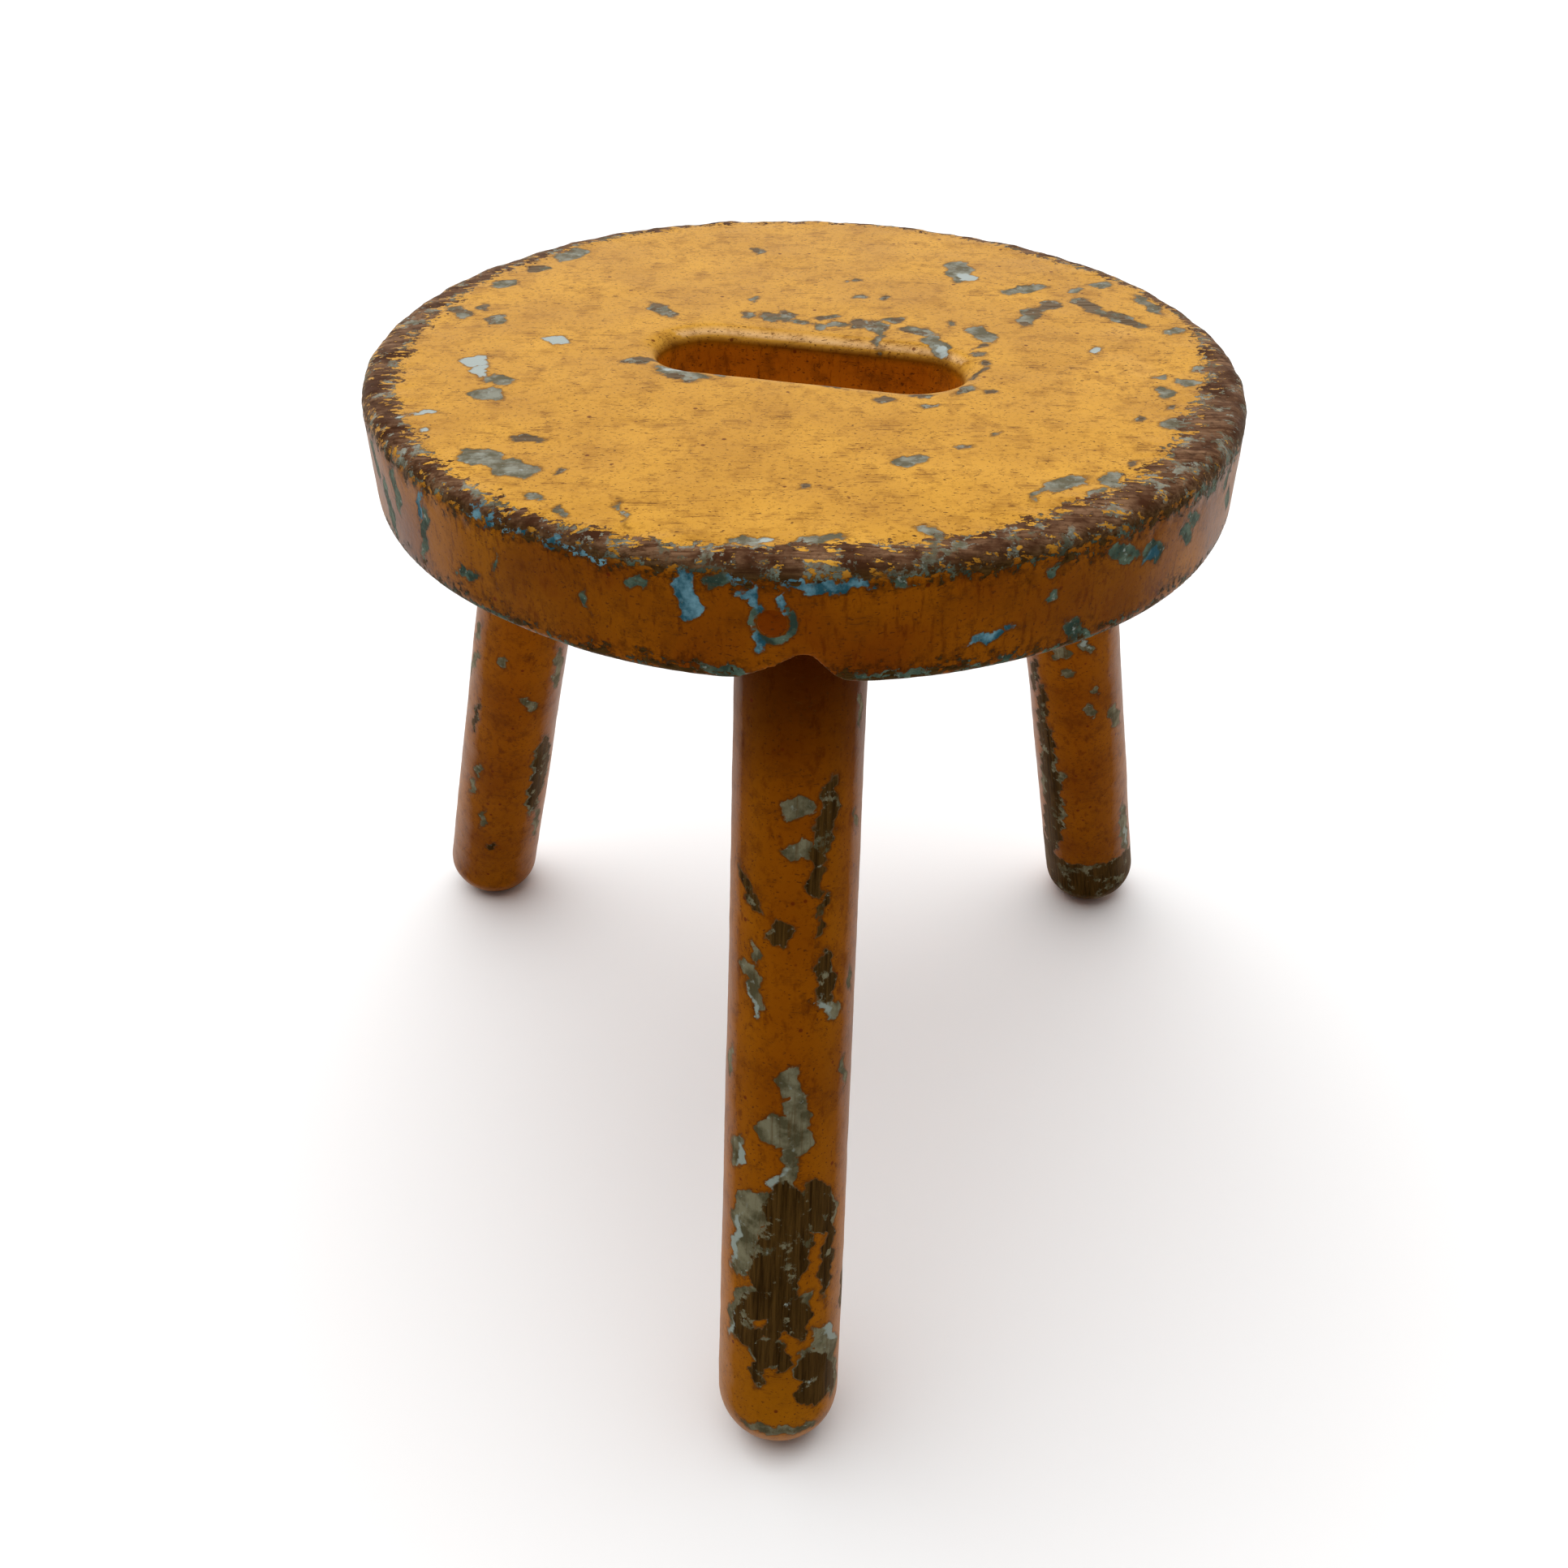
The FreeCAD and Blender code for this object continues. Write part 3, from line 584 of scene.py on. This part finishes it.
def blend(tree, share, first, second, **settings):
    """Mixes two colours, by this share of the second. A colour may be a hex code."""
    first, second = (colour(c) if isinstance(c, str) else c for c in (first, second))
    return add(tree, "ShaderNodeMixRGB", {"Fac": share, "Color1": first, "Color2": second},
               **settings)


def sums(tree, operation, *values):
    """One step of arithmetic."""
    return add(tree, "ShaderNodeMath", dict(enumerate(values)), operation=operation)


def stretched(tree, place, scale, turn=(0, 0, 0)):
    """The same places with their axes turned and scaled, for marks that run one way."""
    return add(tree, "ShaderNodeMapping", {"Vector": place, "Rotation": turn, "Scale": scale})


def worn_edges(tree, spot, on_seat):
    """Distance in mm to the edge of each kind of worn place, made ragged, negative inside.

    The edges follow lumps of 8 mm and 2 mm. The seat's band is broken up by paint islands,
    about 5 mm long and 2 mm wide.
    """
    jag = noise(tree, spot, 0.13, 7, 0.68)
    fine_jag = noise(tree, spot, 0.5, 4, 0.6)
    wide = sums(tree, "SUBTRACT", jag, 0.5)
    narrow = sums(tree, "SUBTRACT", fine_jag, 0.5)

    def ragged(word, coarse=2.2, fine=1.8):
        distance = add(tree, "ShaderNodeAttribute", attribute_name=word).outputs["Fac"]
        rough = sums(tree, "MULTIPLY_ADD", wide, coarse, distance)
        return sums(tree, "MULTIPLY_ADD", narrow, fine, rough)

    wood = ragged("bare")
    pale = ragged("pale")
    old = sums(tree, "MINIMUM", ragged("old"), pale)
    band = blue = None
    if on_seat:
        islands = noise(tree, stretched(tree, spot, (0.22, 0.5, 0.5)), 1, 4, 0.6)
        islands = ramp(tree, islands, 0.53, 0.6, 0, 7.5)
        band = sums(tree, "ADD", ragged("band", 15, 17), islands)
        wood = sums(tree, "MINIMUM", wood, band)
        blue = ragged("blue")
        old = sums(tree, "MINIMUM", old, blue)
    flake = sums(tree, "MINIMUM", wood, old)
    return SimpleNamespace(jag=jag, fine_jag=fine_jag, wood=wood, pale=pale, band=band, blue=blue,
                           flake=flake)


def worn_pine(tree, spot, streaks, worn, bleached_and_painted_light):
    """Pine, greyed and stained by dirt, in streaks. On the seat's top it is paler and redder, in
    part as painted light.
    """
    streak = ramp(tree, streaks, 0.35, 0.65)
    wood = blend(tree, streak, "#2A1A06", "#523A18")
    if bleached_and_painted_light is None:
        return wood
    chipped = blend(tree, streak, "#4A3826", "#7C6A54")
    # wood rubbed bare in the worn band, reddish brown
    reddened = blend(tree, streak, "#4A2C1C", "#8E6C50")
    blotched = ramp(tree, noise(tree, spot, 0.09, 5, 0.6), 0.4, 0.62)
    reddened = blend(tree, blotched, reddened, "#432718")
    soot = ramp(tree, worn.fine_jag, 0.5, 0.66, 0, 0.8)
    reddened = blend(tree, soot, reddened, "#3A2416")
    in_band = ramp(tree, worn.band, 2.5, 1)
    # the top's wood lighter than the sides', in part painted light
    return blend(tree, bleached_and_painted_light, wood, blend(tree, in_band, chipped, reddened))


def earlier_coat(tree, spot, tones, streaks, worn, wood, bleached_and_painted_light):
    """The coat under the paint: grey-green, clouded over 6 mm, with chalky flecks.

    On the seat it has blue spots too. Wood shows through it inside the bare spots.
    """
    tinted = ramp(tree, noise(tree, spot, 0.16, 5, 0.6), 0.42, 0.6)
    old = blend(tree, tinted, tones["old_dark"], tones["old_light"])
    if bleached_and_painted_light is not None:
        # on the top the coat is paler, in part painted light
        old = blend(tree, bleached_and_painted_light, old, blend(tree, tinted, "#605C4A", "#8C8D80"))
    old = blend(tree, ramp(tree, streaks, 0.5, 0.66, 0, 0.55), old, wood)
    chalk = ramp(tree, worn.fine_jag, 0.61, 0.72, 0, 0.6)
    old = blend(tree, chalk, old, tones["chalk"])
    old = blend(tree, ramp(tree, worn.pale, 0.3, -0.3), old, tones["chalk"])
    coated = worn.jag
    if bleached_and_painted_light is not None:
        two_blues = blend(tree, tinted, "#244F5C", "#6A95A3")
        old = blend(tree, ramp(tree, worn.blue, 0.3, -0.3), old, two_blues)
        coated = sums(tree, "ADD", coated, ramp(tree, worn.band, -5, -0.5, 0, 0.08))

    # scraps of the coat are left on the wood, and its broken edge is lighter
    scraps_gone = sums(tree, "SUBTRACT", 1, ramp(tree, coated, 0.56, 0.6))
    wood_shows = sums(tree, "MULTIPLY", ramp(tree, worn.wood, 0.25, -0.25), scraps_gone)
    under = blend(tree, wood_shows, old, wood)
    light_edge = sums(tree, "MULTIPLY", ramp(tree, worn.flake, -1.4, -0.2), chalk)
    return blend(tree, light_edge, under, "#8F9482")


def marks_in_paint(tree, spot, stain, amber):
    """Small dark marks: dashes of 1.3 by 0.7 mm, hair scratches two ways, specks 6 mm apart."""
    dashes = noise(tree, stretched(tree, spot, (0.75, 1.5, 1.5), (0, 0, 0.4)), 1, 3, 0.5)
    amber = blend(tree, ramp(tree, dashes, 0.635, 0.66, 0, 0.8), amber, "#4A260C")
    for angle, cover in ((0.5, 0.48), (-0.9, 0.52)):
        drawn = stretched(tree, spot, (0.018, 0.5, 0.5), (angle / 2, 0, angle))
        lines = sums(tree, "COMPARE", noise(tree, drawn, 1, 2, 0.5), 0.5, 0.006)
        lines = sums(tree, "MULTIPLY", lines, ramp(tree, stain, cover, cover + 0.04, 0, 0.7))
        amber = blend(tree, lines, amber, "#5A300C")
    cells = add(tree, "ShaderNodeTexVoronoi", {"Vector": spot, "Scale": 0.16, "Randomness": 1})
    some = sums(tree, "GREATER_THAN", cells.outputs["Color"], 0.62)
    specks = ramp(tree, cells.outputs["Distance"], 0.13, 0.08, 0, 0.8)
    return blend(tree, sums(tree, "MULTIPLY", specks, some), amber, "#5A1E06")


def amber_paint(tree, spot, brushed, tones, mottle, worn, bleached_and_painted_light, reddened, foot_painted_light):
    """Amber oil paint, mottled over 33 mm, stained over 8 mm, darker against its broken edges with
    dirt and painted shade.

    The seat's top is bleached yellow and painted lighter than its sides (painted light); the sides
    facing front get painted shade. The legs, which have a foot_painted_light, get a painted shadow
    under the seat, and the front leg painted light near its foot.
    """
    mottled = ramp(tree, mottle, 0.35, 0.62)
    amber = blend(tree, mottled, tones["dark"], tones["light"])
    own = add(tree, "ShaderNodeSeparateXYZ", {"Vector": spot})
    # painted shade: the side facing front is painted darker and redder
    near, end, strength = reddened
    painted_front_shade = ramp(tree, own.outputs["Y"], near, end, strength, 0)
    if foot_painted_light is not None:
        painted_front_shade = sums(tree, "MULTIPLY", painted_front_shade, ramp(tree, own.outputs["Z"], 30, 150))
    amber = blend(tree, painted_front_shade, amber, "#7A3202")
    stain_shade = colour(tones["stain"])
    if bleached_and_painted_light is not None:
        # the top bleached yellow and painted lighter than the sides, as painted light
        top = blend(tree, mottled, tones["top_dark"], tones["top_light"])
        amber = blend(tree, bleached_and_painted_light, amber, top, use_clamp=True)
        # painted light: deep in the slot the paint is a lighter orange
        amber = blend(tree, ramp(tree, bleached_and_painted_light, -0.05, -0.5, 0, 0.75), amber, "#C46C0C")
        # painted highlight: a pale strip along the slot's far lip
        amber = blend(tree, ramp(tree, bleached_and_painted_light, 1.1, 1.9, 0, 0.75), amber, "#F0C48C")
        stain_shade = blend(tree, bleached_and_painted_light, "#451603", stain_shade, use_clamp=True)
    stain = noise(tree, spot, 0.12, 8, 0.7)
    amber = blend(tree, ramp(tree, stain, 0.48, 0.75, 0, 0.7), amber, stain_shade)
    fine_stain = noise(tree, brushed, 1, 6, 0.7)
    amber = blend(tree, ramp(tree, fine_stain, 0.54, 0.66, 0, 0.5), amber, stain_shade)
    if foot_painted_light is not None:
        # painted shadow: the leg darkens under the seat
        painted_seat_shadow = ramp(tree, own.outputs["Z"], 225, 278, 0, 0.9, interpolation_type="SMOOTHSTEP")
        amber = blend(tree, painted_seat_shadow, amber, "#360F00")
        # painted light: the front leg is lighter towards its foot
        painted_foot_light = ramp(tree, own.outputs["Z"], 130, 10, 0, foot_painted_light)
        amber = blend(tree, painted_foot_light, amber, "#BA760A")
    amber = marks_in_paint(tree, spot, stain, amber)
    if bleached_and_painted_light is not None:
        # painted shade and grime: a dark line on the sides just under the worn band
        shade_under_band = ramp(tree, worn.band, 4.5, 0.5, 0, 0.6)
        shade_under_band = blend(tree, bleached_and_painted_light, shade_under_band, (0, 0, 0, 1), use_clamp=True)
        amber = blend(tree, shade_under_band, amber, "#2C1503")
    # dirt and painted shade: a dark line along each broken edge of the paint
    return blend(tree, ramp(tree, worn.flake, 0.9, 0.1, 0, 0.55), amber, "#4A2408")


def painted_wood(name, place, turn, grain, brush, tones, reddened=OTHERS_PAINTED_FRONT_SHADE, foot_painted_light=None):
    """Old oil paint on pine: a satin amber skin, flaked off to a dull older coat and bare wood."""
    material = bpy.data.materials.new(name)
    material.use_nodes = True
    tree = material.node_tree
    tree.nodes.clear()
    coords = add(tree, "ShaderNodeTexCoord")
    spot = add(tree, "ShaderNodeMapping", {"Vector": coords.outputs["Object"],
                                           "Location": place * MM, "Rotation": turn,
                                           "Scale": (MM, MM, MM)}, vector_type="TEXTURE")
    brushed = stretched(tree, spot, brush)
    on_seat = "top_light" in tones
    bleached_and_painted_light = None
    if on_seat:
        bleached_and_painted_light = add(tree, "ShaderNodeAttribute", attribute_name="bleached_and_painted_light").outputs["Fac"]
    streaks = noise(tree, stretched(tree, spot, grain), 1, 6, 0.65)
    mottle = noise(tree, spot, 0.03, 8, 0.65)

    worn = worn_edges(tree, spot, on_seat)
    wood = worn_pine(tree, spot, streaks, worn, bleached_and_painted_light)
    under = earlier_coat(tree, spot, tones, streaks, worn, wood, bleached_and_painted_light)
    amber = amber_paint(tree, spot, brushed, tones, mottle, worn, bleached_and_painted_light, reddened, foot_painted_light)
    gone = ramp(tree, worn.flake, 0.15, -0.15)
    gloss = ramp(tree, mottle, 0.3, 0.7, 0.36, 0.5)
    roughness = blend(tree, gone, gloss, (0.72, 0.72, 0.72, 1))

    # the paint stands proud of what it has left, grain shows in the wood, the skin is uneven
    coat = ramp(tree, worn.flake, -0.5, 0.4, 0, COAT_THICK)
    height = sums(tree, "MULTIPLY", streaks, gone)
    height = sums(tree, "MULTIPLY_ADD", height, GRAIN_DEPTH, coat)
    height = sums(tree, "MULTIPLY_ADD", noise(tree, spot, 0.6, 4, 0.6), SKIN_DEPTH, height)
    bump = add(tree, "ShaderNodeBump", {"Height": height, "Distance": MM, "Strength": 1.0})

    # oil skin: hardly any shine face on, a warm sheen where the surface turns away
    away = add(tree, "ShaderNodeLayerWeight", {"Blend": 0.5}).outputs["Facing"]
    sheen = ramp(tree, away, 0.5, 0.95, 0.02, 0.4 if on_seat else 0.8)
    shader = add(tree, "ShaderNodeBsdfPrincipled", {
        "Base Color": blend(tree, gone, amber, under), "Roughness": roughness, "Normal": bump,
        "IOR": 1.48, "Specular IOR Level": sheen, "Specular Tint": colour("#FFBE60")})
    add(tree, "ShaderNodeOutputMaterial", {"Surface": shader})
    return material


def studio_white():
    """Matt white vinyl: an even pale floor, with next to no shine."""
    material = bpy.data.materials.new("matt_white_vinyl")
    material.use_nodes = True
    shader = material.node_tree.nodes["Principled BSDF"]
    shader.inputs["Base Color"].default_value = colour("#FAFAFA")
    shader.inputs["Roughness"].default_value = 0.9
    shader.inputs["Specular IOR Level"].default_value = 0.1
    return material


# ---- the stool ----------------------------------------------------------------------------

FLAT = (0, 0, 0)
# painted light: how much lighter the front leg is painted near its foot
FRONT_FOOT_PAINTED_LIGHT = 0.36

pieces = {"seat": build_seat()}
paints = {"seat": painted_wood("oil_paint_on_pine_seat", SEAT_TOP, FLAT, (0.05, 0.9, 0.9),
                               (0.5, 0.5, 0.14), SEAT_TONES, reddened=SEAT_PAINTED_FRONT_SHADE)}
for leg_name, leg_sizes in LEGS.items():
    pieces[f"leg_{leg_name}"] = build_leg(leg_name, leg_sizes)
    pieces[f"peg_{leg_name}"] = build_peg(leg_name, leg_sizes)
    foot, turn = leg_frame(leg_sizes)[:2]
    paints[f"leg_{leg_name}"] = painted_wood(
        f"oil_paint_on_pine_leg_{leg_name}", foot, turn.to_euler(), (0.9, 0.9, 0.05),
        (0.3, 0.3, 0.16), LEG_TONES, foot_painted_light=FRONT_FOOT_PAINTED_LIGHT if leg_name == "front" else 0)
    paints[f"peg_{leg_name}"] = painted_wood(
        f"oil_paint_on_peg_{leg_name}", SEAT_TOP, FLAT, (0.9, 0.9, 0.9), (0.3, 0.3, 0.3),
        PEG_TONES)

for node, piece in pieces.items():
    piece.data.materials.clear()
    piece.data.materials.append(paints[node])
    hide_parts(node)
    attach(piece, "root")

# ---- floor, light and camera --------------------------------------------------------------

FLOOR_SIZE = 14                             # metres
SUN_STRENGTH, SUN_SPREAD = 2.6, 80          # and degrees
SUN_TILT = (math.radians(-12), math.radians(-8), 0)
CAMERA_PLACE = Vector((14.96, -433.9, 485.2))
CAMERA_ROLL, CAMERA_PITCH, CAMERA_YAW = -0.38, 52.86, 1.796
LENS, SENSOR_WIDTH = 35.12, 36


def studio_backdrop():
    """A surround that lights from behind more than from in front, and looks white."""
    world = bpy.data.worlds.new("studio")
    world.use_nodes = True
    tree = world.node_tree
    coords = add(tree, "ShaderNodeTexCoord")
    way = add(tree, "ShaderNodeSeparateXYZ", {"Vector": coords.outputs["Generated"]})
    backdrop = ramp(tree, way.outputs["Y"], -0.55, 0.35, 0.06, 0.72)
    seen = add(tree, "ShaderNodeLightPath").outputs["Is Camera Ray"]
    background = tree.nodes["Background"]
    background.inputs["Color"].default_value = (1, 1, 1, 1)
    strength = sums(tree, "MAXIMUM", backdrop, seen)
    tree.links.new(strength.outputs[0], background.inputs["Strength"])
    return world


bpy.ops.mesh.primitive_plane_add(size=FLOOR_SIZE)
floor = bpy.context.object
floor.name = "studio_floor"
floor.data.materials.append(studio_white())

bpy.context.scene.world = studio_backdrop()

bpy.ops.object.light_add(type="SUN", rotation=SUN_TILT)
softbox = bpy.context.object
softbox.name = "overhead_softbox"
softbox.data.energy = SUN_STRENGTH
softbox.data.angle = math.radians(SUN_SPREAD)

bpy.ops.object.camera_add()
camera = bpy.context.object
camera.name = "studio_camera"
camera.data.lens = LENS
camera.data.sensor_width = SENSOR_WIDTH
camera.data.clip_start = 0.02
camera.matrix_world = (Matrix.Translation(CAMERA_PLACE * MM)
                       @ Matrix.Rotation(math.radians(CAMERA_YAW), 4, "Z")
                       @ Matrix.Rotation(math.radians(CAMERA_PITCH), 4, "X")
                       @ Matrix.Rotation(math.radians(CAMERA_ROLL), 4, "Z"))
bpy.context.scene.camera = camera
bpy.context.scene.view_settings.view_transform = "Standard"
